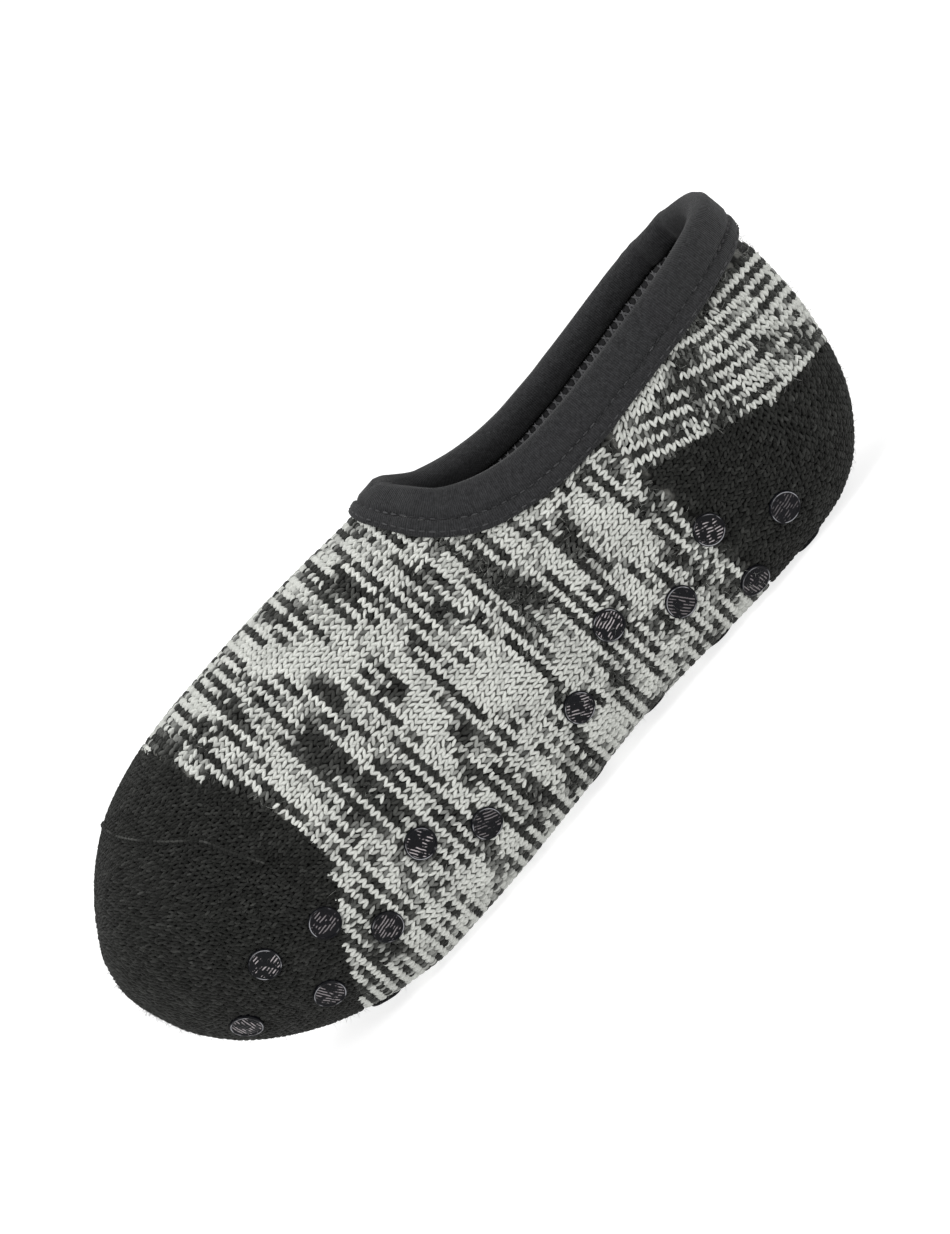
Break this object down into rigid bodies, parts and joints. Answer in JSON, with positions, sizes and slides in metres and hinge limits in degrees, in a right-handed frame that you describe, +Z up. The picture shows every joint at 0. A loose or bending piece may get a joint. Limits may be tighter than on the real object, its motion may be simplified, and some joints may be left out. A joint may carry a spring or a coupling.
{
  "type": "slipper sock",
  "caption": "Low-cut knitted slipper sock with solid toe and heel, folded jersey collar binding and moulded grip dots under and beside the sole.",
  "frame": {"origin": "on the floor plane under the grip dots, at the middle of the bounding box in plan", "axes": "+X towards the toe, +Y to the wearer's left, +Z up; the sock stands empty on its sole, unbent"},
  "size_m": [0.2398, 0.0682, 0.0895],
  "materials": {
    "knit": "marled grey and charcoal knit",
    "jersey": "charcoal jersey",
    "thread": "dark thread",
    "grip": "dark silicone, semi-gloss"
  },
  "bodies": {
    "root": {"knit_body": "knit", "collar_binding": "jersey", "overlock_edge": "thread", "toe_seam": "thread", "grip_dot_01": "grip", "grip_dot_02": "grip", "grip_dot_03": "grip", "grip_dot_04": "grip", "grip_dot_05": "grip", "grip_dot_06": "grip", "grip_dot_07": "grip", "grip_dot_08": "grip", "grip_dot_09": "grip", "grip_dot_10": "grip", "grip_dot_11": "grip", "grip_dot_12": "grip", "grip_dot_13": "grip", "grip_dot_14": "grip", "grip_dot_15": "grip", "grip_dot_16": "grip", "grip_dot_17": "grip", "grip_dot_18": "grip", "grip_dot_19": "grip", "grip_dot_20": "grip", "grip_dot_21": "grip", "grip_dot_22": "grip", "grip_dot_23": "grip", "grip_dot_24": "grip", "grip_dot_25": "grip", "grip_dot_26": "grip", "grip_dot_27": "grip", "grip_dot_28": "grip", "grip_dot_29": "grip", "grip_dot_30": "grip", "grip_dot_31": "grip", "grip_dot_32": "grip", "grip_dot_33": "grip", "grip_dot_34": "grip", "grip_dot_35": "grip", "grip_dot_36": "grip", "grip_dot_37": "grip", "grip_dot_38": "grip", "grip_dot_39": "grip", "grip_dot_40": "grip", "grip_dot_41": "grip", "grip_dot_42": "grip", "grip_dot_43": "grip", "grip_dot_44": "grip", "grip_dot_45": "grip", "grip_dot_46": "grip"}
  },
  "joints": []
}
